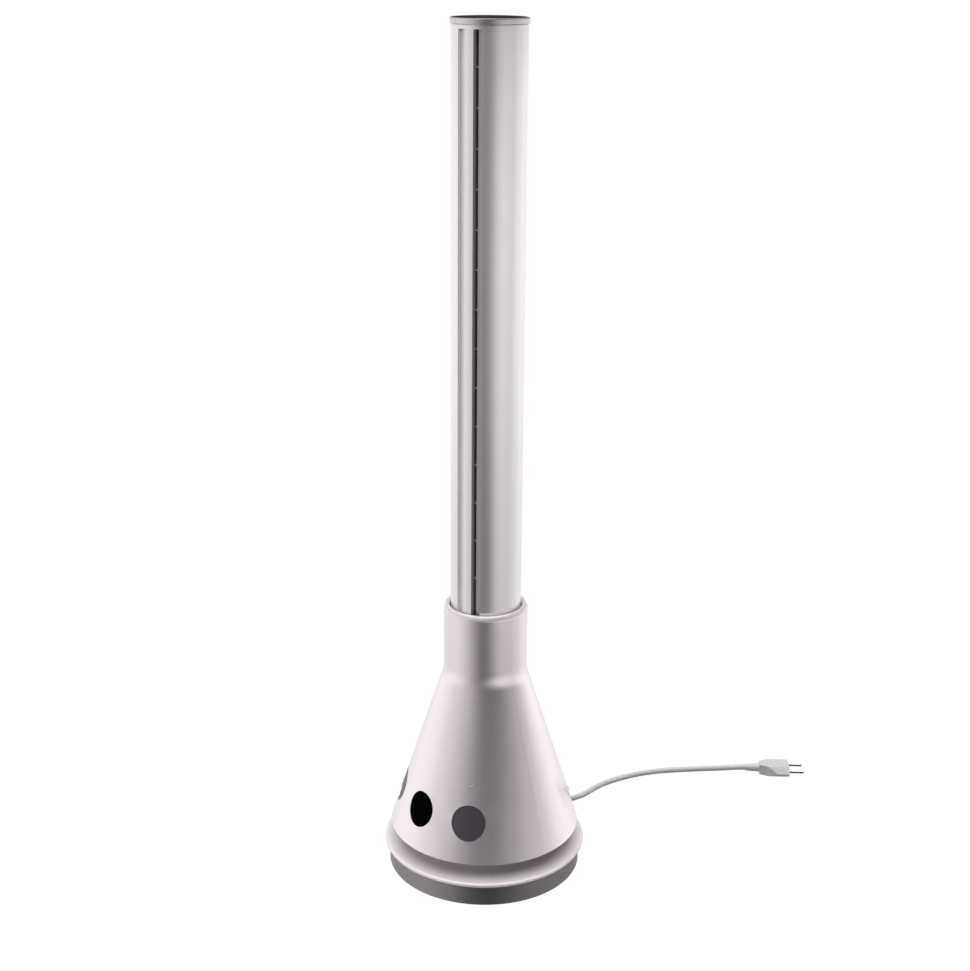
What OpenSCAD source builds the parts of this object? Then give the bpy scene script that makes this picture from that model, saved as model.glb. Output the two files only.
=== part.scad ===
// Bladeless tower fan: a weighted round base, a cone that hides the fan unit and a swivelling column
// that blows through two long slots. Millimetres, +Z up, front towards -Y.
// The origin is the centre of the base on the floor.

/* [Base] */
// Radius of the grey base disc
disc_r = 110; // [100:1:120]
// Height of the top of the base disc
disc_top = 23; // [20:0.5:25]
// Largest radius of the white flange
flange_r = 115.4; // [114:0.2:118]
// Height of the top of the flange's outer edge
flange_top = 30.7; // [30:0.1:32]
// Thickness of the rubber feet
foot_h = 1; // [1:0.5:3]

/* [Cone] */
// Radius of the cone at its lower lip
cone_lip_r = 107.8; // [106:0.2:110]
// Height of the cone's lower lip
cone_lip_z = 50.5; // [50:0.5:54]
// Radius of the collar above the cone
collar_r = 46.6; // [46:0.2:48]
// Height of the collar's top rim
collar_top = 320.6; // [318:0.2:324]
// Radius of the blend between cone and collar
blend_r = 60; // [50:5:120]
// Wall thickness of the cone
cone_wall = 3.2; // [2.8:0.1:3.6]

/* [Controls] */
// Height of the control axes
control_z = 93.3; // [90:0.1:98]
// Radius of the three round holes
control_hole_r = 19.2; // [18:0.2:20]
// Angle between neighbouring controls
control_step = 39.2; // [36:0.2:42]
// Travel of a push button
button_travel = 1.5; // [1:0.1:1.5]

/* [Column] */
// Outer radius of the column
column_r = 39.1; // [38.6:0.1:39.4]
// Wall thickness of the column
column_wall = 2.5; // [2:0.1:2.5]
// Height of the top of the whole fan
total_h = 948; // [900:1:1000]
// Angle that the column is turned to at rest
column_turn = 18.6; // [-30:0.2:21]
// Number of bridges across each slot
bridge_count = 14; // [10:1:14]
// Mean distance between bridges
bridge_pitch = 41.5; // [36:0.5:42]
// How much each gap between bridges is shorter than the gap below it
bridge_gather = 0.3; // [0:0.1:0.4]
// Width of the open slot
slot_w = 3; // [2:0.2:4]

/* [Supply cord] */
// Diameter of the cord
cord_d = 6.8; // [6.8:0.1:6.9]
// Height at which the cord leaves the base
cord_exit_z = 14; // [13:0.5:15]
// Angle between the rear and the cord's exit
exit_turn = 10; // [0:1:10]

/* [Hidden] */
$fn = 96;
cord_r = cord_d / 2;

// Cone: a straight flank from the lip up to the point where it would meet the collar's radius.
cone_vertex_z = 241.7;
cone_slope = (cone_lip_r - collar_r) / (cone_vertex_z - cone_lip_z);
cone_angle = atan(cone_slope);
blend_top = cone_vertex_z + blend_r * tan(cone_angle / 2);
blend_low = blend_top - blend_r * sin(cone_angle);
collar_inner_r = collar_r - cone_wall;
mouth_r = column_r + 0.8;
rim_h = 6.5;
rim_w = 3.6;
rim_crest_r = collar_r - rim_w;
rim_in_w = rim_crest_r - mouth_r;
collar_floor_z = 240;
mouth_lip_z = 302;

// Base
disc_wall = 3.5;
neck_r = disc_r - disc_wall + 1;
disc_floor = foot_h + 3;
ballast_in_r = 66;
ballast_top = 19;
ballast_gap = 24;
flange_edge_h = 5.2;
flange_edge_z = flange_top - flange_edge_h;
deck_low = 26;
deck_top = 29;
cove_in_r = 86;
cove_top = 44;
cove_wall = 3;
cove_out_r = flange_r - flange_edge_h / 2;
foot_ring_r = 92;
foot_r = 9;
base_screw_ring_r = 58;
base_boss_r = 5;
screw_r = 1.95;
screw_hole_r = 2.05;
screw_head_r = 3.6;
screw_head_h = 1.6;

// Mains board
board_l = 72;
board_w = 52;
board_t = 1.6;
board_post_h = 3;

// Intake
grille_low_r = 80;
grille_r = 82.8;
grille_bars = 48;
grille_slot_w = 6.4;
plate_low = 60;
plate_top = 62.5;
plate_hole_r = 58;
cone_screw_ring_r = 96;
cone_boss_r = 4.5;
cone_boss_h = 10;

// Fan unit
damper_ring_r = 64.5;
damper_top = 68.5;
housing_r = 60.2;
housing_in_r = 58;
housing_top = 114;
diffuser_top = 150;
motor_r = 22;
motor_low = 112;
motor_top = 146;
shaft_r = 4;
running_gap = 0.05;
impeller_low = 80;
impeller_top = 108;
duct_r = 31;
duct_in_r = 29;
duct_top = 204;

// Swivel drive
gear_teeth = 72;
pinion_teeth = 12;
gear_module = 1;
gear_low = 200.5;
gear_h = 5.5;
gear_axis_r = gear_module * (gear_teeth + pinion_teeth) / 2;
foot_neck_r = 34;
bracket_low = 196;
bracket_top = 199;
bearing_low = 250;
bearing_top = 255.7;
foot_flange_z = 256;
foot_flange_h = 3;

// Column, before it is turned: the strip between the two slots faces -Y
column_low = foot_flange_z + foot_flange_h;
column_top = 940.8;
column_in_r = column_r - column_wall;
groove_in = 4.9;
groove_out = 14.2;
right_slot_x = 7.6;
left_slot_x = 10.9;
groove_low = 305;
groove_top = 937;
groove_floor_y = -35.4;
nozzle_back_y = -30.8;
ring_r = 40.3;
ring_low = 941.3;
ring_top = 947.3;
cap_r = 38.4;
first_bridge_z = 361;

// Controls
button_r = control_hole_r - 0.35;
button_back = 83;
guide_floor = 77;
guide_floor_t = 2;
guide_wall = 1.8;

// Cord route. Both stretches are in the order in which the current flows.
relief_l = 30;
gland_r = 4.8;
gland_flange_r = 6.5;
inner_route = [
    [-24.3, 137.9, 14], [-25.7, 145.8, 14], [-29.2, 155.6, 13.8], [-35.9, 163.6, 12.8],
    [-44.9, 168.8, 11.3], [-55.2, 170.6, 9.5], [-72, 169.8, 7.2], [-90, 167, 5], [-108, 163, 3.8],
    [-122, 160.4, 3.4], [-136, 159, 3.4], [-149, 158.8, 3.4]
];
outer_route = [
    [-128.5, 86.7, 16.1], [-115.5, 95, 15.6], [-102.9, 103.2, 13.5], [-90.4, 111.4, 10],
    [-78.8, 119, 6.8], [-67.2, 126.4, 4.5], [-55.6, 134.1, 3.5], [-44, 142.3, 3.4],
    [-33.5, 151.9, 3.4], [-26.7, 163.8, 3.4], [-24.4, 176.9, 3.4], [-25.3, 190.9, 3.4],
    [-27.2, 203.8, 3.4], [-28.2, 216.7, 3.4], [-27.4, 233.5, 3.4], [-24.6, 250.6, 3.4],
    [-19.6, 270.4, 3.4], [-12.4, 289.4, 3.4], [-2.3, 308.6, 3.4], [9.8, 327.2, 3.4],
    [22.8, 345.9, 3.6], [36.8, 362.8, 4.6], [50.9, 378.6, 6.2], [60.4, 389.2, 6.8]
];
coil_centre = [-149, 118];
coil_r = 5.5 * cord_d;
coil_turn_h = cord_d * sqrt(3) / 2;
plug_turn = 48.2;
coil_leave_turn = 33.2;
plug_h = 13.6;
plug_w = 35;
plug_l = 37;
plug_neck_l = 18;
pin_r = 2;
pin_l = 19;
pin_gap = 19;

// ---- helpers ----

// Outer radius of the straight flank at height z.
function flank_r(z) = cone_lip_r - (z - cone_lip_z) * cone_slope;

// Points of an elliptic arc from angle a0 to a1 about [x, y].
function arc_points(x, y, rx, ry, a0, a1, steps) =
    [for (i = [0 : steps]) let (a = a0 + (a1 - a0) * i / steps) [x + rx * cos(a), y + ry * sin(a)]];

// A tube of revolution between two radii and two heights.
module ring(r_in, r_out, low, high) {
    rotate_extrude() translate([r_in, low]) square([r_out - r_in, high - low]);
}

// Copies of a child, evenly spaced about the Z axis.
module around(count, first = 0) {
    for (i = [0 : count - 1]) rotate([0, 0, first + i * 360 / count]) children();
}

// A solid cone that follows the flank, sunk by inset.
module flank_solid(inset) {
    low = cone_lip_z + 3;
    high = blend_low - 3;
    rotate_extrude()
        polygon([[0, low], [flank_r(low) - inset, low], [flank_r(high) - inset, high], [0, high]]);
}

// Places a child on a control's axis: child +Z points outwards along the axis at height control_z.
module control_axis(step) {
    rotate([0, 0, step * control_step]) translate([0, 0, control_z]) rotate([90, 0, 0]) children();
}

// Places a child at the cord's exit: child +Z points outwards.
module cord_exit() {
    rotate([0, 0, exit_turn]) translate([0, disc_r, cord_exit_z]) rotate([-90, 0, 0]) children();
}

// Places a child on the turned column.
module turned() {
    rotate([0, 0, column_turn]) children();
}

// One flank of an involute tooth, from root to tip: [radius, angle] pairs about the tooth's middle.
function involute_angle(base, r) = r <= base ? 0 : sqrt(pow(r / base, 2) - 1) * 180 / PI - acos(base / r);

function tooth_flank(pitch_r, base, root, tip, half) =
    let (at_pitch = involute_angle(base, pitch_r))
    [for (i = [0 : 4])
        let (r = root + (tip - root) * i / 4)
        [r, half + at_pitch - involute_angle(base, r)]];

// Outline of a spur gear. The teeth are thinner than half the pitch by the backlash.
module gear_outline(teeth, addendum, dedendum, first_angle) {
    pitch_r = teeth * gear_module / 2;
    base = pitch_r * cos(20);
    backlash_angle = 0.16 / pitch_r * 180 / PI;
    half = 90 / teeth - backlash_angle / 2;
    flank = tooth_flank(pitch_r, base, pitch_r - dedendum, pitch_r + addendum, half);
    points = [for (t = [0 : teeth - 1]) let (middle = first_angle + t * 360 / teeth)
        each concat(
            [for (p = flank) [p[0] * cos(middle - p[1]), p[0] * sin(middle - p[1])]],
            [for (i = [4 : -1 : 0]) let (p = flank[i]) [p[0] * cos(middle + p[1]), p[0] * sin(middle + p[1])]]
        )];
    polygon(points);
}

function unit(v) = v / norm(v);

// Points of one ring of a swept tube, square to the path, with one side level.
function tube_ring(centre, along, r, sides) =
    let (side = unit(cross([0, 0, 1], along)), up = cross(along, side))
    [for (k = [0 : sides - 1]) centre + r * (cos(k * 360 / sides) * side + sin(k * 360 / sides) * up)];

module tube_along(path, r, start_along, end_along, sides = 8) {
    last = len(path) - 1;
    points = [for (i = [0 : last])
        let (along = i == 0 ? start_along : i == last ? end_along : unit(path[i + 1] - path[i - 1]))
        each tube_ring(path[i], along, r, sides)];
    walls = [for (i = [0 : last - 1], k = [0 : sides - 1])
        let (a = i * sides + k, b = i * sides + (k + 1) % sides)
        each [[a, a + sides, b], [b, a + sides, b + sides]]];
    first_cap = [for (k = [0 : sides - 1]) k];
    last_cap = [for (k = [sides - 1 : -1 : 0]) last * sides + k];
    polyhedron(points, concat([first_cap], walls, [last_cap]));
}

// ---- base ----

module rubber_feet() {
    color("dimgray") around(6) translate([foot_ring_r, 0, 0]) cylinder(h = foot_h, r = foot_r);
}

module base_disc() {
    edge = 1.2;
    color([0.36, 0.36, 0.38]) difference() {
        union() {
            rotate_extrude() difference() {
                polygon(concat(
                    [[0, foot_h]],
                    arc_points(disc_r - edge, foot_h + edge, edge, edge, -90, 0, 8),
                    [[disc_r, disc_top - 1], [disc_r - 1, disc_top], [0, disc_top]]
                ));
                translate([-1, disc_floor]) square([disc_r - disc_wall + 1, disc_top]);
            }
            around(4, 45) translate([base_screw_ring_r, 0, foot_h + 1])
                cylinder(h = deck_low - foot_h - 1, r = base_boss_r);
        }
        around(4, 45) translate([base_screw_ring_r, 0, 0]) {
            cylinder(h = deck_low + 1, r = screw_hole_r);
            cylinder(h = foot_h + screw_head_h + 0.4, r = screw_head_r + 0.2);
        }
        cord_exit() cylinder(h = 20, r = gland_r + 0.2, center = true);
    }
}

module base_ballast() {
    color([0.25, 0.25, 0.27]) difference() {
        ring(ballast_in_r, disc_r - disc_wall - 0.5, disc_floor, ballast_top);
        rotate([0, 0, exit_turn]) translate([-ballast_gap / 2, 0, 0]) cube([ballast_gap, disc_r, disc_top]);
    }
}

module base_screws() {
    color("silver") around(4, 45) translate([base_screw_ring_r, 0, foot_h + 0.4]) {
        cylinder(h = screw_head_h, r = screw_head_r);
        cylinder(h = deck_top - foot_h - 1.4, r = screw_r);
    }
}

module power_board() {
    color("darkgreen") {
        translate([-board_l / 2, -board_w / 2, disc_floor + board_post_h]) cube([board_l, board_w, board_t]);
        for (x = [-1, 1], y = [-1, 1])
            translate([x * (board_l / 2 - 4), y * (board_w / 2 - 4), disc_floor])
                cylinder(h = board_post_h, r = 2.5);
    }
}

module power_parts() {
    top = disc_floor + board_post_h + board_t;
    color([0.15, 0.15, 0.16]) {
        translate([-22, 8, top]) cylinder(h = 11, r = 7);
        translate([0, -18, top]) cube([20, 16, 10]);
        translate([-30, -20, top]) cube([16, 12, 8]);
        translate([6, 6, top]) cube([22, 10, 9]);
    }
}

module base_flange() {
    nose_r = flange_edge_h / 2;
    cove_w = cove_out_r - cove_in_r;
    cove_h = cove_top - flange_top;
    color([0.92, 0.91, 0.9]) difference() {
        rotate_extrude() polygon(concat(
            [[neck_r, disc_top], [neck_r, flange_edge_z]],
            arc_points(cove_out_r, flange_edge_z + nose_r, nose_r, nose_r, -90, 90, 12),
            arc_points(cove_out_r, cove_top, cove_w, cove_h, 266, 180, 20),
            [[grille_r + 0.2, cove_top], [grille_r + 0.2, deck_top], [0, deck_top], [0, deck_low]],
            [[cove_in_r, deck_low]],
            arc_points(cove_out_r, cove_top, cove_w + cove_wall, cove_h + cove_wall, 205, 248, 8),
            [[neck_r - cove_wall, deck_low], [neck_r - cove_wall, disc_top]]
        ));
        around(4, 45) translate([base_screw_ring_r, 0, 0]) cylinder(h = deck_top - 0.5, r = screw_hole_r);
    }
}

// ---- intake and cone ----

module intake_grille() {
    color([0.2, 0.2, 0.21]) difference() {
        union() {
            ring(grille_low_r, grille_r, deck_top, plate_top);
            ring(plate_hole_r, flank_r(plate_top) - cone_wall - 0.5, plate_low, plate_top);
        }
        around(grille_bars) translate([grille_low_r - 1, -grille_slot_w / 2, cove_top + 1])
            cube([grille_r - grille_low_r + 2, grille_slot_w, plate_low - cove_top - 2]);
        around(4, 45) translate([cone_screw_ring_r, 0, plate_low - 1]) cylinder(h = 5, r = screw_hole_r);
    }
}

module cone_screws() {
    color("silver") around(4, 45) translate([cone_screw_ring_r, 0, plate_low - screw_head_h]) {
        cylinder(h = screw_head_h, r = screw_head_r);
        cylinder(h = cone_boss_h, r = screw_r);
    }
}

// Outer outline of the cone and collar, from the lip upwards and over the rim.
function cone_outline() = concat(
    [[cone_lip_r, cone_lip_z]],
    arc_points(collar_r + blend_r, blend_top, blend_r, blend_r, 180 + cone_angle, 180, 16),
    arc_points(rim_crest_r, collar_top - rim_h, rim_w, rim_h, 0, 90, 12),
    arc_points(rim_crest_r, collar_top - rim_in_w, rim_in_w, rim_in_w, 100, 180, 8)
);

module cone_shell() {
    throat_z = collar_floor_z - 12;
    color([0.93, 0.92, 0.91]) difference() {
        union() {
            rotate_extrude() polygon(concat(
                cone_outline(),
                [[mouth_r, mouth_lip_z], [collar_inner_r, mouth_lip_z]],
                [[collar_inner_r, collar_floor_z]],
                [[flank_r(throat_z) - cone_wall, throat_z]],
                [[cone_lip_r - cone_wall, cone_lip_z]]
            ));
            intersection() {
                around(4, 45) translate([cone_screw_ring_r, 0, plate_top])
                    cylinder(h = cone_boss_h, r = cone_boss_r);
                flank_solid(1);
            }
        }
        for (step = [-1 : 1]) control_axis(step) translate([0, 0, 60]) cylinder(h = 60, r = control_hole_r);
        around(4, 45) translate([cone_screw_ring_r, 0, plate_top - 1])
            cylinder(h = cone_boss_h, r = screw_hole_r);
    }
}

// ---- controls ----

module button(step) {
    color([0.28, 0.28, 0.3]) {
        intersection() {
            control_axis(step) translate([0, 0, button_back]) cylinder(h = 30, r = button_r);
            flank_solid(0.7);
        }
        control_axis(step) translate([0, 0, guide_floor + 0.5])
            cylinder(h = button_back - guide_floor, r = 3);
    }
}

module power_button() {
    button(1);
}

module mode_button() {
    button(-1);
}

module display_window() {
    color([0.02, 0.02, 0.02]) intersection() {
        control_axis(0) translate([0, 0, button_back + 1]) cylinder(h = 30, r = control_hole_r - 0.15);
        flank_solid(0.5);
    }
}

module display_board() {
    front = button_back + 0.4;
    color("darkgreen") translate([-22, 5.2 - front, control_z - 17]) cube([44, board_t, 34]);
    color([0.1, 0.1, 0.1]) translate([-14, -front, control_z - 8]) cube([28, 5.3, 16]);
}

module button_guides() {
    color([0.85, 0.85, 0.84]) intersection() {
        for (step = [-1, 1]) control_axis(step) translate([0, 0, guide_floor]) difference() {
            cylinder(h = 30, r = control_hole_r + guide_wall);
            translate([0, 0, guide_floor_t]) cylinder(h = 40, r = control_hole_r);
            translate([0, 0, -1]) cylinder(h = 10, r = 3.5);
        }
        flank_solid(cone_wall + 0.1);
    }
}

module button_spring(step) {
    gap = button_back - guide_floor - guide_floor_t;
    color("silver") control_axis(step) translate([0, 0, guide_floor + guide_floor_t]) difference() {
        cylinder(h = gap, r = 6);
        translate([0, 0, -1]) cylinder(h = gap + 2, r = 5);
    }
}

module power_button_spring() {
    button_spring(1);
}

module mode_button_spring() {
    button_spring(-1);
}

module button_switches() {
    depth = guide_floor + 0.5 - button_travel - 0.1;
    color([0.1, 0.1, 0.1]) for (step = [-1, 1]) control_axis(step) {
        translate([-6, -6, depth - 5]) cube([12, 12, 4]);
        translate([0, 0, depth - 1.5]) cylinder(h = 1.5, r = 1.7);
        translate([-9, -16, depth - 6.6]) cube([18, 32, 1.6]);
    }
}

// ---- fan unit ----

module vibration_dampers() {
    color([0.12, 0.12, 0.12]) around(3, 30) translate([damper_ring_r, 0, plate_top])
        cylinder(h = damper_top - plate_top, r = 5.5);
}

module inlet_bellmouth() {
    throat_r = 44;
    flare = 16;
    wall = 2;
    top = 73.7;
    color([0.88, 0.88, 0.87]) rotate_extrude() polygon(concat(
        arc_points(throat_r + flare, top, flare, flare, 180, 270, 12),
        arc_points(throat_r + flare, top, flare - wall, flare - wall, 270, 180, 12)
    ));
}

module fan_housing() {
    wall = housing_r - housing_in_r;
    neck = 47;
    color([0.8, 0.8, 0.8]) rotate_extrude() polygon([
        [neck, damper_top], [71, damper_top], [71, damper_top + 2.5], [neck + wall, damper_top + 2.5],
        [neck + wall, impeller_low], [housing_r, impeller_top + 2], [housing_r, housing_top],
        [housing_in_r, housing_top], [housing_in_r, impeller_top + 2], [neck, impeller_low]
    ]);
}

module impeller() {
    blades = 9;
    clearance = 1.2;
    color([0.35, 0.36, 0.38]) difference() {
        union() {
            rotate_extrude() polygon([
                [0, impeller_low], [12, impeller_low], [20, impeller_low + 8],
                [30, impeller_top], [0, impeller_top]
            ]);
            intersection() {
                rotate_extrude() polygon([
                    [10, impeller_low], [47 - clearance, impeller_low + 1],
                    [housing_in_r - clearance, impeller_top + 1], [26, impeller_top + 1]
                ]);
                around(blades) translate([12, 0, (impeller_low + impeller_top) / 2]) rotate([52, 0, 0])
                    translate([0, -1, -30]) cube([50, 2, 60]);
            }
        }
        translate([0, 0, impeller_low - 1]) cylinder(h = 40, r = shaft_r);
        translate([0, 0, impeller_top - 6]) cylinder(h = 20, r = 22);
    }
}

module motor_shaft() {
    color("silver") translate([0, 0, impeller_low - 2])
        cylinder(h = motor_top - impeller_low + 4, r = shaft_r);
}

module motor_rotor() {
    color([0.4, 0.4, 0.42]) ring(shaft_r, 12, motor_low + 8, motor_top - 8);
}

module motor_stator() {
    color([0.55, 0.32, 0.2]) difference() {
        ring(12.6, motor_r - 2, motor_low + 7, motor_top - 7);
        around(6) translate([12, -1.2, motor_low]) cube([4.5, 2.4, 40]);
    }
}

module motor_case() {
    color([0.6, 0.6, 0.62]) {
        ring(motor_r - 2, motor_r, motor_low, motor_top);
        ring(9, motor_r - 1, motor_low, motor_low + 2);
        ring(9, motor_r - 1, motor_top - 2, motor_top);
    }
}

module motor_bearings() {
    color("silver") {
        ring(shaft_r + running_gap, 9, motor_low, motor_low + 5);
        ring(shaft_r + running_gap, 9, motor_top - 5, motor_top);
    }
}

module diffuser() {
    vanes = 11;
    hub_in = motor_r + 0.1;
    hub_r = motor_r + 2.4;
    color([0.82, 0.82, 0.82]) {
        ring(hub_in, hub_r, housing_top, diffuser_top);
        ring(housing_in_r, housing_r, housing_top, diffuser_top);
        intersection() {
            ring(hub_in + 1, housing_r - 1, housing_top, diffuser_top);
            around(vanes) translate([20, 0, (housing_top + diffuser_top) / 2]) rotate([-18, 0, 0])
                translate([0, -0.9, -30]) cube([50, 1.8, 60]);
        }
    }
}

module outlet_duct() {
    waist = 176;
    color([0.86, 0.86, 0.85]) rotate_extrude() polygon([
        [housing_in_r, diffuser_top], [housing_r, diffuser_top], [housing_r, diffuser_top + 2],
        [duct_r, waist], [duct_r, duct_top], [duct_in_r, duct_top], [duct_in_r, waist - 1],
        [housing_in_r, diffuser_top + 1]
    ]);
}

// ---- swivel drive ----

module swivel_bracket() {
    color([0.7, 0.7, 0.72]) difference() {
        ring(duct_r + 0.5, flank_r(bracket_top) - cone_wall - 0.4, bracket_low, bracket_top);
        translate([0, gear_axis_r, bracket_low - 1]) cylinder(h = 5, r = 3);
    }
}

module swivel_motor() {
    color([0.75, 0.75, 0.76]) translate([0, gear_axis_r, 178]) difference() {
        cylinder(h = bracket_low - 178, r = 10.4);
        translate([0, 0, 8]) cylinder(h = 20, r = 2 + running_gap);
    }
}

module pinion_shaft() {
    color("silver") translate([0, gear_axis_r, 188]) cylinder(h = gear_low + gear_h - 188, r = 2);
}

module swivel_pinion() {
    // A gap between two pinion teeth faces the ring gear's tooth on the line of centres.
    color([0.9, 0.9, 0.88]) translate([0, gear_axis_r, gear_low]) difference() {
        linear_extrude(gear_h) gear_outline(pinion_teeth, 0.85, 1.05, -90 + 180 / pinion_teeth);
        translate([0, 0, -1]) cylinder(h = gear_h + 2, r = 2);
    }
}

module ring_gear() {
    color([0.3, 0.3, 0.32]) translate([0, 0, gear_low]) difference() {
        linear_extrude(gear_h) gear_outline(gear_teeth, 0.65, 1.1, 90);
        translate([0, 0, -1]) cylinder(h = gear_h + 2, r = foot_neck_r);
    }
}

module swivel_bearing() {
    color([0.9, 0.9, 0.85]) ring(foot_neck_r + 0.8, collar_inner_r, bearing_low, bearing_top);
}

module column_foot() {
    spigot_r = column_in_r - 0.1;
    color([0.85, 0.85, 0.84]) {
        ring(foot_neck_r - 2, foot_neck_r, gear_low + 0.5, foot_flange_z + 1);
        ring(foot_neck_r - 2, collar_inner_r - 0.6, foot_flange_z, column_low);
        ring(spigot_r - 2, spigot_r, foot_flange_z + 1, groove_low - 4);
    }
}

// ---- column ----

module column_shell() {
    color([0.93, 0.92, 0.91]) turned() difference() {
        ring(column_in_r, column_r, column_low, column_top);
        for (side = [0, 1]) mirror([side, 0, 0]) translate([groove_in, -column_r - 5, groove_low])
            cube([groove_out - groove_in, 20, groove_top - groove_low]);
    }
}

function bridge_z(i) = first_bridge_z + i * bridge_pitch + i * (bridge_count - 1 - i) * bridge_gather / 2;

// Two jaws that narrow the groove to the slot, held apart by thin bridges.
module nozzle(side, slot_x) {
    edge = 0.5;
    bite = 0.6;
    front_in = -sqrt(column_r * column_r - groove_in * groove_in) + edge;
    front_out = -sqrt(column_r * column_r - groove_out * groove_out) + edge;
    low = groove_low + 0.2;
    high = groove_top - 0.2;
    color([0.86, 0.85, 0.85]) turned() mirror([side, 0, 0]) {
        translate([0, 0, low]) linear_extrude(high - low) {
            polygon([
                [groove_in, front_in], [slot_x - slot_w / 2, groove_floor_y],
                [slot_x - slot_w / 2, nozzle_back_y], [groove_in, nozzle_back_y]
            ]);
            polygon([
                [groove_out, front_out], [groove_out, nozzle_back_y],
                [slot_x + slot_w / 2, nozzle_back_y], [slot_x + slot_w / 2, groove_floor_y]
            ]);
        }
        for (i = [0 : bridge_count - 1])
            translate([slot_x - slot_w / 2 - bite, groove_floor_y + bite, bridge_z(i)])
                cube([slot_w + 2 * bite, nozzle_back_y - groove_floor_y - bite, 1.4]);
    }
}

module left_nozzle() {
    nozzle(1, left_slot_x);
}

module right_nozzle() {
    nozzle(0, right_slot_x);
}

// A wall that splits the column into two air ways, with a sloping vane below each bridge.
module air_guide() {
    half_w = column_in_r - 0.03;
    plate_t = 1.6;
    vane_l = 22;
    color([0.3, 0.3, 0.31]) turned() {
        translate([-plate_t / 2, -half_w, groove_low + 4])
            cube([plate_t, 2 * half_w, groove_top - groove_low - 12]);
        for (i = [0 : bridge_count - 1], side = [-1, 1])
            translate([side * 8.2, nozzle_back_y + 1.2, bridge_z(i)])
                rotate([-48, 0, 0]) translate([-8, 0, -0.6]) cube([16, vane_l, 1.2]);
    }
}

module top_ring() {
    spigot_r = column_in_r - 0.1;
    spigot_low = groove_top + 0.4;
    floor_z = ring_low + 1.6;
    color([0.7, 0.69, 0.69]) rotate_extrude() polygon([
        [spigot_r - 2.5, spigot_low], [spigot_r, spigot_low], [spigot_r, ring_low],
        [ring_r - 0.4, ring_low], [ring_r, ring_low + 0.4], [ring_r, ring_top - 1],
        [ring_r - 0.3, ring_top - 0.3], [ring_r - 1, ring_top], [cap_r + 0.15, ring_top],
        [cap_r + 0.15, floor_z], [spigot_r - 2.5, floor_z]
    ]);
}

module top_cap() {
    base_z = ring_low + 1.6;
    color([0.06, 0.06, 0.07]) rotate_extrude() polygon(concat(
        [[0, base_z], [cap_r, base_z], [cap_r, ring_top - 0.2]],
        [for (i = [1 : 8])
            let (r = cap_r * (1 - i / 8))
            [r, total_h - (total_h - ring_top + 0.2) * pow(r / cap_r, 4)]]
    ));
}

// ---- supply cord ----

module cord_gland() {
    // A flange inside the wall, a body in the wall's hole and a tapered sleeve over the cord outside.
    color([0.75, 0.75, 0.75]) cord_exit() rotate_extrude() polygon([
        [0, -disc_wall - 4], [gland_r, -disc_wall - 4], [gland_r, 0], [gland_flange_r, 0],
        [gland_flange_r, 2], [gland_r + 0.4, 3], [cord_r + 0.6, relief_l], [0, relief_l]
    ]);
}

module supply_cord_inner() {
    color([0.88, 0.88, 0.88])
        tube_along(inner_route, cord_r, [-sin(exit_turn), cos(exit_turn), 0], [-1, 0, 0]);
}

module supply_cord_coil() {
    r_in = coil_r - cord_d;
    r_out = coil_r + cord_d;
    color([0.88, 0.88, 0.88]) translate([coil_centre[0], coil_centre[1], 0]) rotate_extrude() polygon([
        [r_in, 0], [r_out, 0], [r_out, 2 * cord_d], [coil_r + cord_r, 1.5 * cord_d + coil_turn_h + cord_r],
        [coil_r - cord_r, 1.5 * cord_d + coil_turn_h + cord_r], [r_in, 2 * cord_d]
    ]);
}

module supply_cord_outer() {
    start = [cos(coil_leave_turn), sin(coil_leave_turn), 0];
    end = [cos(plug_turn), sin(plug_turn), 0];
    color([0.88, 0.88, 0.88]) tube_along(outer_route, cord_r, start, end);
}

module cable_tie() {
    gap = 0.3;
    strap = 1.2;
    strap_w = 4;
    in_w = cord_d * 2 + 2 * gap;
    in_h = cord_d * (1.5 + sqrt(3) / 2) + cord_r;
    color([0.1, 0.1, 0.1]) translate([coil_centre[0] - coil_r, coil_centre[1], 0]) rotate([90, 0, 0])
        linear_extrude(strap_w, center = true) difference() {
            translate([-in_w / 2 - strap, 0]) square([in_w + 2 * strap, in_h + gap + strap]);
            translate([-in_w / 2, -1]) square([in_w, in_h + gap + 1]);
        }
}

module plug_frame() {
    translate([outer_route[len(outer_route) - 1][0], outer_route[len(outer_route) - 1][1], 0])
        rotate([0, 0, plug_turn]) children();
}

module plug_body() {
    color([0.85, 0.85, 0.85]) plug_frame() {
        intersection() {
            linear_extrude(plug_h) polygon([
                [plug_neck_l, -5.5], [plug_neck_l + 8, -9], [plug_neck_l + 22, -plug_w / 2],
                [plug_neck_l + plug_l, -plug_w / 2], [plug_neck_l + plug_l, plug_w / 2],
                [plug_neck_l + 22, plug_w / 2], [plug_neck_l + 8, 9], [plug_neck_l, 5.5]
            ]);
            rotate([90, 0, 90]) linear_extrude(plug_neck_l + plug_l) polygon([
                [-plug_w / 2, plug_h / 2], [-plug_w / 2 + 7, 0], [plug_w / 2 - 7, 0],
                [plug_w / 2, plug_h / 2], [plug_w / 2 - 7, plug_h], [-plug_w / 2 + 7, plug_h]
            ]);
        }
        translate([0, 0, plug_h / 2]) rotate([0, 90, 0]) cylinder(h = plug_neck_l + 1, r1 = 4.2, r2 = 5.4);
    }
}

module plug_pins() {
    color("gold") plug_frame() for (side = [-1, 1])
        translate([plug_neck_l + plug_l, side * pin_gap / 2, plug_h / 2]) rotate([0, 90, 0]) {
            cylinder(h = pin_l - 1, r = pin_r);
            translate([0, 0, pin_l - 1]) cylinder(h = 1, r1 = pin_r, r2 = pin_r - 0.8);
        }
}

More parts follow.
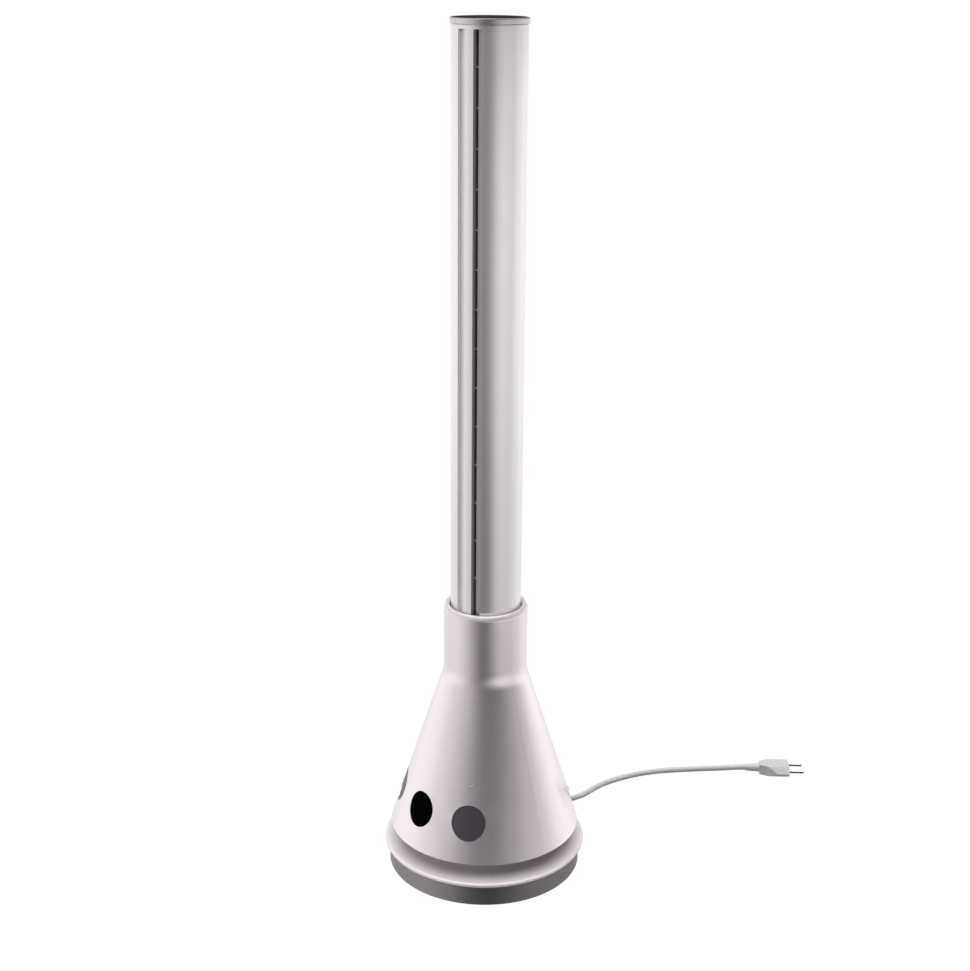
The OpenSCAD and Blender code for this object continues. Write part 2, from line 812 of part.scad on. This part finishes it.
rubber_feet();
base_disc();
base_ballast();
base_screws();
power_board();
power_parts();
base_flange();
intake_grille();
cone_screws();
cone_shell();
power_button();
mode_button();
display_window();
display_board();
button_guides();
power_button_spring();
mode_button_spring();
button_switches();
vibration_dampers();
inlet_bellmouth();
fan_housing();
impeller();
motor_shaft();
motor_rotor();
motor_stator();
motor_case();
motor_bearings();
diffuser();
outlet_duct();
swivel_bracket();
swivel_motor();
pinion_shaft();
swivel_pinion();
swivel_bearing();
column_foot();
ring_gear();
column_shell();
left_nozzle();
right_nozzle();
air_guide();
top_ring();
top_cap();
cord_gland();
supply_cord_inner();
supply_cord_coil();
supply_cord_outer();
cable_tie();
plug_body();
plug_pins();
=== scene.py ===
"""Bladeless tower fan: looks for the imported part. Metres, +Z up, front towards -Y."""

import math

import bmesh
import bpy
from mathutils import Matrix, Vector


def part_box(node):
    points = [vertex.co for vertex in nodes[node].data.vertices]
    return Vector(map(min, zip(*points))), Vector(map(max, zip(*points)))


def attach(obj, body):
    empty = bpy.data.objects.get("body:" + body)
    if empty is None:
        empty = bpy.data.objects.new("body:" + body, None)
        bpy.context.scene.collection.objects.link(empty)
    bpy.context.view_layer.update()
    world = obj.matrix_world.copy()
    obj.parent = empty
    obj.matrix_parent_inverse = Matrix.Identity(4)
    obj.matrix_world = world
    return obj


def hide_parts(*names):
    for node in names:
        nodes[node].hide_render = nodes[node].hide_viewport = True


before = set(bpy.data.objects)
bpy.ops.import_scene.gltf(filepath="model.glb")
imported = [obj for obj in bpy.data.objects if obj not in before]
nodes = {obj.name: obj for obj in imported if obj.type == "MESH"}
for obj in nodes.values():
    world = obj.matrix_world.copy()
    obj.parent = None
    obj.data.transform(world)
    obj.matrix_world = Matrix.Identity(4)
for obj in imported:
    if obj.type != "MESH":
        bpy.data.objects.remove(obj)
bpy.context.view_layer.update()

MM = 0.001
SCENE = bpy.context.scene

# ---------------------------------------------------------------- camera

CAMERA_AZIMUTH = math.radians(50)
CAMERA_DISTANCE = 1.685
CAMERA_HEIGHT = 1.021
CAMERA_PITCH = math.radians(18.516)
CAMERA_YAW = math.radians(0.059)
CAMERA_ROLL = math.radians(0.39)
CAMERA_LENS = 60.57

# Directions on the floor as the camera sees them: to the right, and away from it.
RIGHT = Vector((math.cos(CAMERA_AZIMUTH), math.sin(CAMERA_AZIMUTH), 0))
AWAY = Vector((-math.sin(CAMERA_AZIMUTH), math.cos(CAMERA_AZIMUTH), 0))


def seen(right, away, up):
    """A point given to the right of the axis, away from the camera and above the floor."""
    return RIGHT * right + AWAY * away + Vector((0, 0, up))


def add_camera():
    data = bpy.data.cameras.new("camera")
    data.lens = CAMERA_LENS
    data.clip_end = 200
    camera = bpy.data.objects.new("camera", data)
    SCENE.collection.objects.link(camera)
    eye = seen(0, -CAMERA_DISTANCE, CAMERA_HEIGHT)
    ahead = AWAY * math.cos(CAMERA_YAW) - RIGHT * math.sin(CAMERA_YAW)
    across = RIGHT * math.cos(CAMERA_YAW) + AWAY * math.sin(CAMERA_YAW)
    forward = ahead * math.cos(CAMERA_PITCH) - Vector((0, 0, math.sin(CAMERA_PITCH)))
    upward = ahead * math.sin(CAMERA_PITCH) + Vector((0, 0, math.cos(CAMERA_PITCH)))
    side = across * math.cos(CAMERA_ROLL) + upward * math.sin(CAMERA_ROLL)
    top = upward * math.cos(CAMERA_ROLL) - across * math.sin(CAMERA_ROLL)
    turn = Matrix((side, top, -forward)).transposed().to_4x4()
    camera.matrix_world = Matrix.Translation(eye) @ turn
    SCENE.camera = camera


add_camera()

# ---------------------------------------------------------------- supply cord

CORD_D = 6.8 * MM
CORD_R = CORD_D / 2
INNER_ROUTE = [
    (-24.3, 137.9, 14), (-25.7, 145.8, 14), (-29.2, 155.6, 13.8), (-35.9, 163.6, 12.8), (-44.9, 168.8, 11.3),
    (-55.2, 170.6, 9.5), (-72, 169.8, 7.2), (-90, 167, 5), (-108, 163, 3.8), (-122, 160.4, 3.4),
    (-136, 159, 3.4), (-149, 158.8, 3.4),
]
OUTER_ROUTE = [
    (-128.5, 86.7, 16.1), (-115.5, 95, 15.6), (-102.9, 103.2, 13.5), (-90.4, 111.4, 10), (-78.8, 119, 6.8),
    (-67.2, 126.4, 4.5), (-55.6, 134.1, 3.5), (-44, 142.3, 3.4), (-33.5, 151.9, 3.4), (-26.7, 163.8, 3.4),
    (-24.4, 176.9, 3.4), (-25.3, 190.9, 3.4), (-27.2, 203.8, 3.4), (-28.2, 216.7, 3.4), (-27.4, 233.5, 3.4),
    (-24.6, 250.6, 3.4), (-19.6, 270.4, 3.4), (-12.4, 289.4, 3.4), (-2.3, 308.6, 3.4), (9.8, 327.2, 3.4),
    (22.8, 345.9, 3.6), (36.8, 362.8, 4.6), (50.9, 378.6, 6.2), (60.4, 389.2, 6.8),
]
COIL_CENTRE = Vector((-149, 118, 0)) * MM
COIL_R = 5.5 * CORD_D
COIL_STEPS = 24
# Where the turns of the coil lie: distance from the middle of the coil's ring, and height.
COIL_SLOTS = [
    (CORD_R, CORD_R), (-CORD_R, CORD_R), (-CORD_R, CORD_R + CORD_D), (CORD_R, CORD_R + CORD_D),
    (0, CORD_R + CORD_D * (1 + math.sqrt(3) / 2)),
]
COIL_LAST_TURN = 213.2 / 360
# The share of a turn in which the cord crosses to its next slot.
COIL_SHIFT = 0.22
EXIT_TURN = math.radians(10)
EXIT_ALONG = Vector((-math.sin(EXIT_TURN), math.cos(EXIT_TURN), 0))
PLUG_TURN = math.radians(48.2)
PLUG_ALONG = Vector((math.cos(PLUG_TURN), math.sin(PLUG_TURN), 0))


def ease(t):
    """A smooth step from 0 to 1."""
    t = min(max(t, 0), 1)
    return t * t * (3 - 2 * t)


def coil_points():
    """The turns of the coil, counter-clockwise from its +Y side; each shifts to its next slot at its end."""
    turns = len(COIL_SLOTS) - 1 + COIL_LAST_TURN
    count = round(turns * COIL_STEPS)
    points = []
    for i in range(1, count):
        turn = i * turns / count
        slot = int(turn)
        here = COIL_SLOTS[slot]
        after = COIL_SLOTS[min(slot + 1, len(COIL_SLOTS) - 1)]
        part = ease((turn - slot - 1 + COIL_SHIFT) / COIL_SHIFT)
        offset = here[0] + (after[0] - here[0]) * part
        height = here[1] + (after[1] - here[1]) * part
        angle = math.radians(90 + 360 * turn)
        radius = COIL_R + offset
        points.append(COIL_CENTRE + Vector((radius * math.cos(angle), radius * math.sin(angle), height)))
    return points


def curve_length(points):
    return sum((b - a).length for a, b in zip(points, points[1:]))


def bezier_curve(name, points, radius, start, end):
    """A round cord on a smooth curve. start and end are its directions at its two ends.

    Blender adds a knot's own radius to the curve's box, so the knots hold the cord's radius and the bevel
    is 1."""
    data = bpy.data.curves.new(name, "CURVE")
    data.dimensions = "3D"
    data.resolution_u = 6
    data.bevel_depth = 1.0
    data.bevel_resolution = 5
    data.use_fill_caps = True
    spline = data.splines.new("BEZIER")
    spline.bezier_points.add(len(points) - 1)
    last = len(points) - 1
    for i, (knot, point) in enumerate(zip(spline.bezier_points, points)):
        before = points[max(i - 1, 0)]
        after = points[min(i + 1, last)]
        along = start if i == 0 else end if i == last else (after - before).normalized()
        knot.co = point
        knot.radius = radius
        knot.handle_left = point - along * (point - before).length / 3
        knot.handle_right = point + along * (after - point).length / 3
    piece = bpy.data.objects.new(name, data)
    SCENE.collection.objects.link(piece)
    return piece


def curve_measure(piece):
    """Length of a curve's own line."""
    data = piece.data.copy()
    data.bevel_depth = 0
    line = bpy.data.objects.new("measure", data)
    SCENE.collection.objects.link(line)
    mesh = line.evaluated_get(bpy.context.evaluated_depsgraph_get()).to_mesh()
    length = curve_length([v.co.copy() for v in mesh.vertices])
    bpy.data.objects.remove(line)
    return length


def add_cord():
    inner = [Vector(p) * MM for p in INNER_ROUTE]
    outer = [Vector(p) * MM for p in OUTER_ROUTE]
    points = inner + coil_points() + outer
    piece = bezier_curve("supply_cord", points, CORD_R, EXIT_ALONG, PLUG_ALONG)
    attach(piece, "base")
    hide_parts("supply_cord_inner", "supply_cord_coil", "supply_cord_outer")
    return piece


cord_piece = add_cord()
cord_length = curve_measure(cord_piece)
print("cord length", round(cord_length, 3))

# ---------------------------------------------------------------- stage


def shader_tree(owner):
    """Empties an owner's node tree and returns a helper that adds a node with its settings and inputs."""
    owner.use_nodes = True
    tree = owner.node_tree
    tree.nodes.clear()

    def add(kind, inputs=(), **settings):
        node = tree.nodes.new("ShaderNode" + kind)
        for key, value in settings.items():
            setattr(node, key, value)
        for key, value in dict(inputs).items():
            if isinstance(value, bpy.types.NodeSocket):
                tree.links.new(value, node.inputs[key])
            else:
                node.inputs[key].default_value = value
        return node

    return add


FLOOR_HALF = 60


def add_floor():
    """A floor that the camera sees as plain white. All other rays pass through it, so it takes no shadow."""
    mesh = bpy.data.meshes.new("floor")
    mesh.from_pydata(
        [(x * FLOOR_HALF, y * FLOOR_HALF, 0) for x, y in ((-1, -1), (1, -1), (1, 1), (-1, 1))],
        [], [(0, 1, 2, 3)])
    floor = bpy.data.objects.new("floor", mesh)
    SCENE.collection.objects.link(floor)
    material = bpy.data.materials.new("floor")
    add = shader_tree(material)
    white = add("Emission", {"Strength": 1.0})
    open_floor = add("BsdfTransparent")
    path = add("LightPath")
    shown = add(
        "MixShader", {"Fac": path.outputs["Is Camera Ray"], 1: open_floor.outputs[0], 2: white.outputs[0]})
    add("OutputMaterial", {"Surface": shown.outputs[0]})
    mesh.materials.append(material)


# How bright the studio is around the fan, as (degrees to the right of the camera's side, brightness).
WIDE_DARK = (
    (-180, 0.5), (-120, 0.56), (-90, 0.74), (-64, 0.74), (-40, 0.6), (-26, 0.37), (-13, 0.14), (0, 0.05),
    (20, 0.01), (36, 0.03), (50, 0.12), (62, 0.25), (84, 0.32), (100, 0.32), (125, 0.26), (150, 0.3),
    (180, 0.5),
)
SOFT_DARK = (
    (-180, 0.9), (-125, 1.0), (-95, 1.1), (-70, 1.0), (-54, 0.75), (-40, 0.48), (-26, 0.2), (-13, 0.05),
    (0, 0.07), (10, 0.17), (20, 0.42), (32, 0.74), (46, 0.88), (78, 0.84), (98, 1.0), (120, 1.2), (180, 0.9),
)
NARROW_DARK = (
    (-180, 1.0), (-125, 1.25), (-95, 1.3), (-70, 1.1), (-54, 0.84), (-40, 0.54), (-26, 0.25), (-13, 0.13),
    (0, 0.26), (10, 0.5), (20, 0.8), (32, 1.1), (46, 1.2), (62, 1.12), (78, 1.02), (98, 1.3), (120, 1.4),
    (180, 1.0),
)
CONE_DARK = (
    (-180, 1.0), (-125, 1.1), (-95, 1.15), (-70, 1.0), (-54, 0.8), (-40, 0.54), (-26, 0.27), (-13, 0.13),
    (0, 0.14), (10, 0.24), (20, 0.4), (32, 0.6), (46, 0.7), (62, 0.68), (78, 0.66), (98, 0.85), (120, 1.0),
    (180, 1.0),
)
# Belts of the studio from below to above: the heights between which a belt takes over, as sines, and its
# brightness. The lowest belt has nothing below it.
STUDIO = [
    (None, WIDE_DARK), ((-0.49, -0.44), SOFT_DARK), ((-0.34, -0.24), NARROW_DARK),
    ((-0.09, -0.05), CONE_DARK), ((-0.03, 0.1), WIDE_DARK),
]
OVERHEAD = (0.72, 0.9)
OVERHEAD_LEVEL = 3.1


def ramp_around(add, share, steps):
    """Brightness by direction, for a share of the full turn that is 0.5 on the camera's side."""
    around = add("ValToRGB", {"Fac": share})
    ramp = around.color_ramp
    ramp.interpolation = "EASE"
    while len(ramp.elements) < len(steps):
        ramp.elements.new(0.5)
    for element, (degrees, level) in zip(ramp.elements, steps):
        element.position = (degrees + 180) / 360
        element.color = (level, level, level, 1)
    return around.outputs["Color"]


def add_world():
    """A soft studio: dark towards the front camera, bright at both sides and above, seen as white."""
    world = bpy.data.worlds.new("studio")
    SCENE.world = world
    add = shader_tree(world)
    place = add("TexCoord").outputs["Generated"]
    toward = add("VectorMath", {0: place, 1: -AWAY}, operation="DOT_PRODUCT").outputs["Value"]
    rightward = add("VectorMath", {0: place, 1: RIGHT}, operation="DOT_PRODUCT").outputs["Value"]
    angle = add("Math", {0: rightward, 1: toward}, operation="ARCTAN2").outputs[0]
    share = add("MapRange", {"Value": angle, "From Min": -math.pi, "From Max": math.pi}).outputs["Result"]
    height = add("SeparateXYZ", {0: place}).outputs["Z"]
    sides = None
    for blend, steps in STUDIO:
        belt = ramp_around(add, share, steps)
        if sides:
            rise = add("MapRange", {
                "Value": height, "From Min": blend[0], "From Max": blend[1]}, interpolation_type="SMOOTHSTEP")
            belt = add("Mix", {"Factor": rise.outputs["Result"], "A": sides, "B": belt}, data_type="RGBA")
            belt = belt.outputs["Result"]
        sides = belt
    overhead = add(
        "MapRange", {"Value": height, "From Min": OVERHEAD[0], "From Max": OVERHEAD[1]},
        interpolation_type="SMOOTHSTEP")
    sky = add("Mix", {
        "Factor": overhead.outputs["Result"], "A": sides,
        "B": (OVERHEAD_LEVEL, OVERHEAD_LEVEL, OVERHEAD_LEVEL, 1)}, data_type="RGBA")
    path = add("LightPath")
    seen_sky = add("Mix", {
        "Factor": path.outputs["Is Camera Ray"], "A": sky.outputs["Result"],
        "B": (1, 1, 1, 1)}, data_type="RGBA")
    back = add("Background", {"Color": seen_sky.outputs["Result"], "Strength": 1.0})
    add("OutputWorld", {"Surface": back.outputs[0]})
    SCENE.view_settings.view_transform = "Standard"


add_floor()
add_world()

# ---------------------------------------------------------------- materials


def finish_material(
    name, colour, second=None, tone_scale=9, roughness=0.4, spread=0.08, metallic=0.0, coat=0.0,
    coat_roughness=0.06, grain=900, grain_depth=0.00002, specular=0.5, streak=None, turn=None,
):
    """A surface whose tone and roughness drift over the piece, with a fine moulded or brushed grain.

    second is the tone that it drifts to. spread is how far the roughness varies in all. grain is the number
    of grains to a metre and grain_depth their height in metres. streak stretches the grain along one axis, as
    brushing does. turn is (low, high, metallic): between these two heights the metallic share turns into this
    one."""
    material = bpy.data.materials.new(name)
    add = shader_tree(material)
    place = add("TexCoord").outputs["Object"]
    second = second or tuple(c * 0.9 for c in colour)
    cloud = add("TexNoise", {"Vector": place, "Scale": tone_scale, "Detail": 3, "Roughness": 0.55})
    tone = add("Mix", {
        "Factor": cloud.outputs["Fac"], "A": (*colour, 1), "B": (*second, 1)}, data_type="RGBA")
    stretched = place
    if streak:
        stretched = add("Mapping", {"Vector": place, "Scale": streak}).outputs["Vector"]
    fine = add("TexNoise", {"Vector": stretched, "Scale": grain, "Detail": 2, "Roughness": 0.6})
    wear = add("TexNoise", {"Vector": place, "Scale": 38, "Detail": 5, "Roughness": 0.65})
    dull = add("MapRange", {
        "Value": wear.outputs["Fac"], "From Min": 0.3, "From Max": 0.7,
        "To Min": max(roughness - spread / 2, 0.02), "To Max": roughness + spread / 2})
    bump = add("Bump", {"Strength": 1.0, "Distance": grain_depth, "Height": fine.outputs["Fac"]})
    shader = add("BsdfPrincipled", {
        "Base Color": tone.outputs["Result"], "Roughness": dull.outputs["Result"], "Metallic": metallic,
        "Coat Weight": coat, "Coat Roughness": coat_roughness, "Specular IOR Level": specular,
        "Normal": bump.outputs["Normal"]})
    if turn:
        low, high, share = turn
        fade = add("MapRange", {
            "Value": add("SeparateXYZ", {0: place}).outputs["Z"], "From Min": low, "From Max": high,
            "To Min": metallic, "To Max": share})
        material.node_tree.links.new(fade.outputs["Result"], shader.inputs["Metallic"])
    add("OutputMaterial", {"Surface": shader.outputs[0]})
    return material


def paint(material, *names):
    """Gives CAD nodes a material."""
    for name in names:
        mesh = nodes[name].data
        mesh.materials.clear()
        mesh.materials.append(material)


# The metallic share of the lacquer changes a little below the collar's rim and the flange's upper edge.
RIM_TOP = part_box("cone_shell")[1][2]
FLANGE_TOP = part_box("base_flange")[1][2]
PEARL = finish_material(
    "pearl_lacquer", (0.80, 0.735, 0.765), (0.77, 0.70, 0.735), roughness=0.25, spread=0.03, metallic=0.75,
    coat=0.15, coat_roughness=0.12, grain=700, grain_depth=0.00001,
    turn=(RIM_TOP - 6.5 * MM, RIM_TOP - 2.5 * MM, 0.1))
FLANGE_PEARL = finish_material(
    "flange_lacquer", (0.84, 0.775, 0.80), (0.81, 0.745, 0.775), roughness=0.42, spread=0.08, metallic=0.12,
    grain=700, grain_depth=0.000004, turn=(FLANGE_TOP - 10.5 * MM, FLANGE_TOP - 4 * MM, 0.2))
COLUMN_PEARL = finish_material(
    "column_lacquer", (0.81, 0.78, 0.80), (0.78, 0.745, 0.77), roughness=0.2, spread=0.05, metallic=0.6,
    coat=0.3, coat_roughness=0.08, grain=700, grain_depth=0.00001)
# Lit and shaded copies of one nozzle finish: the left nozzle is painted pale as painted light, the right one
# darker as painted shade.
LIT_NOZZLE_PAINT = finish_material(
    "nozzle_painted_lit", (0.86, 0.83, 0.85), (0.82, 0.79, 0.81), roughness=0.4, metallic=0.1, grain=1200,
    grain_depth=0.000004)
SHADED_NOZZLE_PAINT = finish_material(
    "nozzle_painted_shade", (0.34, 0.32, 0.335), (0.31, 0.29, 0.305), roughness=0.32, metallic=0.35, grain=1200,
    grain_depth=0.00001)
DISC_GREY = finish_material(
    "disc_satin", (0.31, 0.29, 0.3), (0.28, 0.262, 0.27), roughness=0.34, spread=0.06, metallic=0.9,
    grain=1400, grain_depth=0.000006, specular=0.6)
BUTTON_GREY = finish_material(
    "button_satin", (0.064, 0.058, 0.07), (0.057, 0.051, 0.062), tone_scale=40, roughness=0.45, grain=2200,
    grain_depth=0.00003)
WINDOW_BLACK = finish_material(
    "window_lens", (0.0006, 0.0006, 0.0008), (0.0004, 0.0004, 0.0005), roughness=0.4, spread=0.1, grain=500,
    grain_depth=0.000004, specular=0.004)
CAP_BLACK = finish_material(
    "cap_gloss", (0.03, 0.03, 0.032), (0.024, 0.024, 0.026), roughness=0.5, spread=0.08, grain=600,
    grain_depth=0.00001, specular=0.0)
RING_SILVER = finish_material(
    "ring_satin", (0.62, 0.58, 0.61), (0.56, 0.53, 0.56), tone_scale=30, roughness=0.22, spread=0.05,
    metallic=0.85, grain=500, grain_depth=0.00001, streak=(1, 1, 12))
RUBBER = finish_material(
    "foot_rubber", (0.03, 0.03, 0.03), tone_scale=60, roughness=0.75, grain=2500, grain_depth=0.00008)
INNER_DARK = finish_material(
    "inner_dark", (0.03, 0.03, 0.03), tone_scale=30, roughness=0.6, grain=1500, grain_depth=0.00005)
GRILLE_GREY = finish_material(
    "grille_grey", (0.2, 0.19, 0.195), tone_scale=30, roughness=0.45, grain=1200, grain_depth=0.00003)
INNER_LIGHT = finish_material(
    "inner_light", (0.55, 0.55, 0.54), tone_scale=30, roughness=0.5, grain=1500, grain_depth=0.00004)
STEEL = finish_material(
    "inner_steel", (0.5, 0.5, 0.51), tone_scale=60, roughness=0.34, spread=0.06, metallic=1.0, grain=900,
    grain_depth=0.00002, streak=(1, 1, 10))
IRON = finish_material(
    "ballast_iron", (0.1, 0.1, 0.105), tone_scale=60, roughness=0.65, metallic=0.6, grain=700,
    grain_depth=0.0001)
COPPER = finish_material(
    "stator_copper", (0.45, 0.2, 0.09), tone_scale=90, roughness=0.4, metallic=0.8, grain=1500,
    grain_depth=0.00008)
BOARD = finish_material(
    "board_green", (0.02, 0.13, 0.05), (0.015, 0.1, 0.04), tone_scale=120, roughness=0.4, grain=1800,
    grain_depth=0.00003)
VINYL = finish_material(
    "cord_vinyl", (0.54, 0.535, 0.54), (0.5, 0.495, 0.5), tone_scale=60, roughness=0.46, spread=0.08,
    grain=1600, grain_depth=0.000008)
ICON_GREY = finish_material(
    "icon_grey", (0.62, 0.57, 0.6), (0.58, 0.53, 0.56), roughness=0.4, metallic=0.6, grain=500,
    grain_depth=0.000002)
# A pale colour for the sheet in the left slot: painted light, where the slot would otherwise be in shade.
SLOT_LIGHT_PAINT = finish_material(
    "slot_painted_light", (0.85, 0.82, 0.84), (0.8, 0.77, 0.79), tone_scale=200, roughness=0.6, grain=1500,
    grain_depth=0.00002)
NYLON = finish_material(
    "tie_nylon", (0.02, 0.02, 0.02), tone_scale=90, roughness=0.42, grain=900, grain_depth=0.00006)
NICKEL = finish_material(
    "pin_nickel", (0.62, 0.58, 0.5), tone_scale=200, roughness=0.22, metallic=1.0, grain=900,
    grain_depth=0.00001)

paint(PEARL, "cone_shell")
paint(FLANGE_PEARL, "base_flange")
paint(COLUMN_PEARL, "column_shell")
# The two nozzles get the painted-light and painted-shade copies of one finish.
paint(LIT_NOZZLE_PAINT, "left_nozzle")
paint(SHADED_NOZZLE_PAINT, "right_nozzle")
paint(DISC_GREY, "base_disc")
paint(BUTTON_GREY, "power_button", "mode_button")
paint(WINDOW_BLACK, "display_window")
paint(CAP_BLACK, "top_cap")
paint(RING_SILVER, "top_ring")
paint(RUBBER, "rubber_feet", "vibration_dampers")
paint(INNER_DARK, "power_parts", "button_switches", "impeller", "ring_gear")
paint(
    INNER_LIGHT, "air_guide", "button_guides", "inlet_bellmouth", "fan_housing", "diffuser", "outlet_duct",
    "swivel_bearing", "column_foot", "swivel_pinion")
paint(
    STEEL, "base_screws", "cone_screws", "power_button_spring", "mode_button_spring", "motor_shaft",
    "motor_case", "motor_bearings", "swivel_bracket", "swivel_motor", "pinion_shaft")
paint(GRILLE_GREY, "intake_grille")
paint(IRON, "base_ballast", "motor_rotor")
paint(COPPER, "motor_stator")
paint(BOARD, "power_board", "display_board")
paint(VINYL, "plug_body", "cord_gland", "supply_cord_inner", "supply_cord_coil", "supply_cord_outer")
paint(NYLON, "cable_tie")
paint(NICKEL, "plug_pins")
cord_piece.data.materials.append(VINYL)

# ---------------------------------------------------------------- slot screen, painted light

COLUMN_TURN = math.radians(18.6)
SCREEN_LEFT = -12.7 * MM
SCREEN_RIGHT = -9.1 * MM
SCREEN_DEPTH = -34.6 * MM
SCREEN_THICKNESS = 0.3 * MM
SCREEN_MARGIN = 1 * MM
SCREEN_COLUMNS = 6
SCREEN_ROWS = 420


def add_slot_painted_light():
    """Painted light: a thin pale woven sheet behind the left slot, set out for a column facing front, then
    turned.
    """
    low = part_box("left_nozzle")[0][2] + SCREEN_MARGIN
    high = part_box("left_nozzle")[1][2] - SCREEN_MARGIN
    mesh = bmesh.new()
    turn = Matrix.Rotation(COLUMN_TURN, 4, "Z")
    grid = []
    for row in range(SCREEN_ROWS + 1):
        z = low + (high - low) * row / SCREEN_ROWS
        line = []
        for column in range(SCREEN_COLUMNS + 1):
            x = SCREEN_LEFT + (SCREEN_RIGHT - SCREEN_LEFT) * column / SCREEN_COLUMNS
            weave = SCREEN_THICKNESS * 0.4 * (1 if (row + column) % 2 else -1)
            line.append(mesh.verts.new(turn @ Vector((x, SCREEN_DEPTH + weave, z))))
        grid.append(line)
    for below, above in zip(grid, grid[1:]):
        for i in range(SCREEN_COLUMNS):
            mesh.faces.new((below[i], below[i + 1], above[i + 1], above[i]))
    data = bpy.data.meshes.new("left_slot_painted_light")
    mesh.to_mesh(data)
    mesh.free()
    # The sheet's pale colour is painted light inside the slot.
    data.materials.append(SLOT_LIGHT_PAINT)
    light_sheet = bpy.data.objects.new("left_slot_painted_light", data)
    SCENE.collection.objects.link(light_sheet)
    light_sheet.modifiers.new("thickness", "SOLIDIFY").thickness = SCREEN_THICKNESS
    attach(light_sheet, "column")


add_slot_painted_light()

# ---------------------------------------------------------------- printed icon

ICON_AZIMUTH = math.radians(39.2)
ICON_HEIGHT = 136.2 * MM
ICON_RADIUS = 3.6 * MM
ICON_STROKE_R = 0.35 * MM
# How far the middle of a stroke stands off the cone, and how much a step up the cone's slope rises.
ICON_LIFT = 0.02 * MM
SLOPE_RISE = 0.95

def on_cone(azimuth, height):
    """The point of the cone's skin at an azimuth from the front, in radians, and a height."""
    outward = Vector((math.sin(azimuth), -math.cos(azimuth), 0))
    start = outward * 0.3 + Vector((0, 0, height))
    shell = nodes["cone_shell"]
    into = shell.matrix_world.inverted()
    hit, place, normal, _ = shell.ray_cast(into @ start, into.to_3x3() @ -outward)
    assert hit
    return shell.matrix_world @ place + outward * ICON_LIFT


def add_power_icon():
    """A faint printed power sign above the right button: an open ring with a short bar at its top."""
    curve = bpy.data.curves.new("power_icon", "CURVE")
    curve.dimensions = "3D"
    curve.bevel_depth = ICON_STROKE_R
    curve.bevel_resolution = 2
    reach = on_cone(ICON_AZIMUTH, ICON_HEIGHT).xy.length
    angles = [math.radians(35 + 290 * i / 40) for i in range(41)]
    arc = [(math.sin(a) * ICON_RADIUS, math.cos(a) * ICON_RADIUS) for a in angles]
    bar = [(0, ICON_RADIUS * (0.35 + 0.2 * i)) for i in range(5)]
    for stroke in (arc, bar):
        spline = curve.splines.new("POLY")
        spline.points.add(len(stroke) - 1)
        for point, (across, up) in zip(spline.points, stroke):
            spot = on_cone(ICON_AZIMUTH + across / reach, ICON_HEIGHT + up * SLOPE_RISE)
            point.co = (*spot, 1)
    drawn = bpy.data.objects.new("power_icon_strokes", curve)
    SCENE.collection.objects.link(drawn)
    bpy.context.view_layer.update()
    mesh = bpy.data.meshes.new_from_object(drawn.evaluated_get(bpy.context.evaluated_depsgraph_get()))
    bpy.data.objects.remove(drawn)
    mesh.materials.clear()
    mesh.materials.append(ICON_GREY)
    icon = bpy.data.objects.new("power_icon", mesh)
    SCENE.collection.objects.link(icon)
    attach(icon, "base")


add_power_icon()
